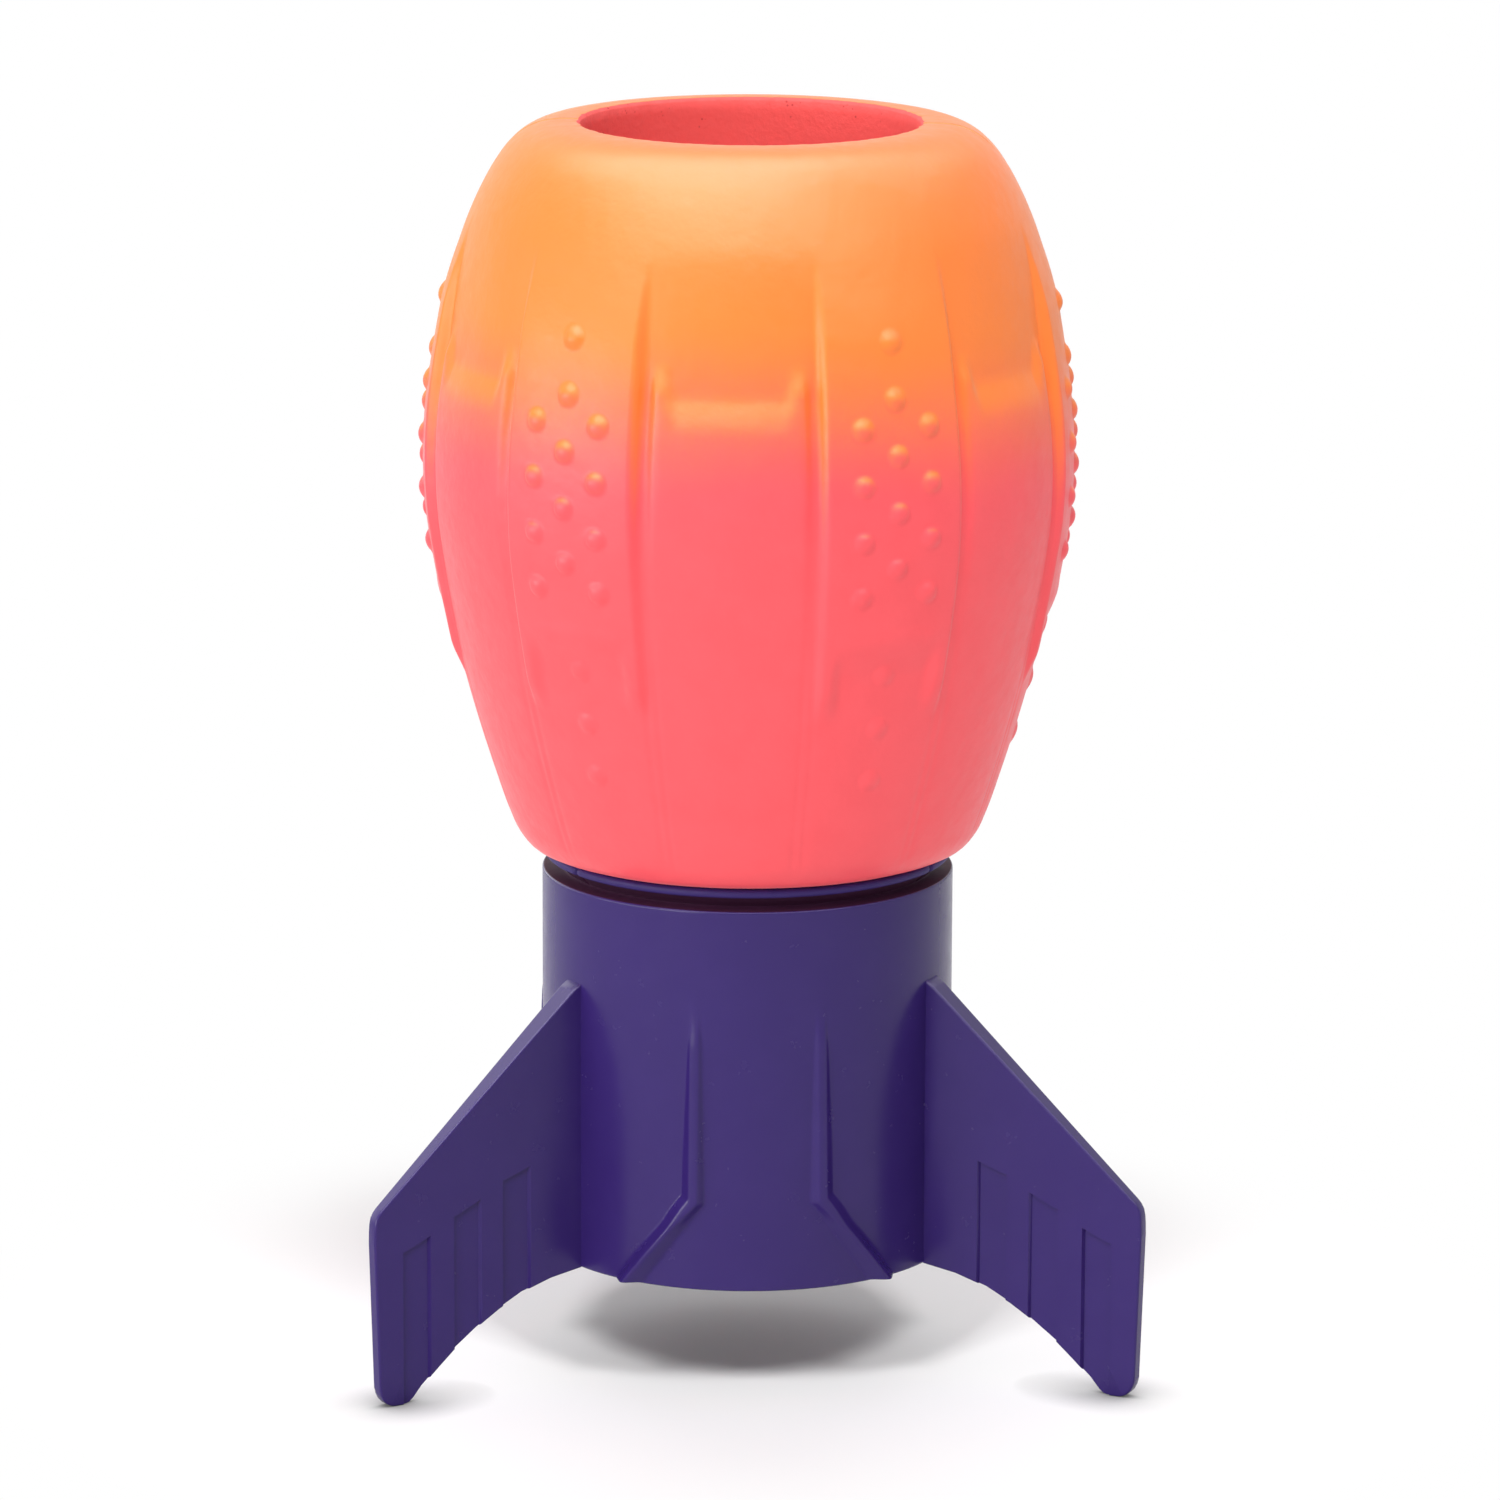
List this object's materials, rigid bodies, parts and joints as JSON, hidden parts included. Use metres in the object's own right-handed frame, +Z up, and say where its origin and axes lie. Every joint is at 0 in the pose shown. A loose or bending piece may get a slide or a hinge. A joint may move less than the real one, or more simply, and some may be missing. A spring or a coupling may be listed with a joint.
{
  "type": "finned throwing ball",
  "caption": "Hollow foam throwing ball with moulded grip panels, on a plastic tail tube with swept stabilising fins; it stands upright on its fin tips.",
  "frame": {"origin": "on the ground under the fin tips, at the middle of the object's box; the ball's own axis is vertical and stands 11.385 mm in front of it, at x = 0, y = -0.011385", "axes": "+Z up from the tail to the nose, -Y to the side that faces the viewer, between two fins; the third fin points along +Y; +X to the viewer's right"},
  "size_m": [0.141, 0.1388, 0.229],
  "materials": {
    "painted_foam": "matte self-skinned foam, coral with an orange spray coat over the nose",
    "tail_plastic": "satin injection-moulded plastic, deep purple",
    "clear_glue": "set contact glue, amber"
  },
  "bodies": {
    "root": {"foam_body": "painted_foam", "tail_tube": "tail_plastic", "fin_front_left": "tail_plastic", "fin_front_right": "tail_plastic", "fin_rear": "tail_plastic", "glue_film": "clear_glue"}
  },
  "joints": []
}
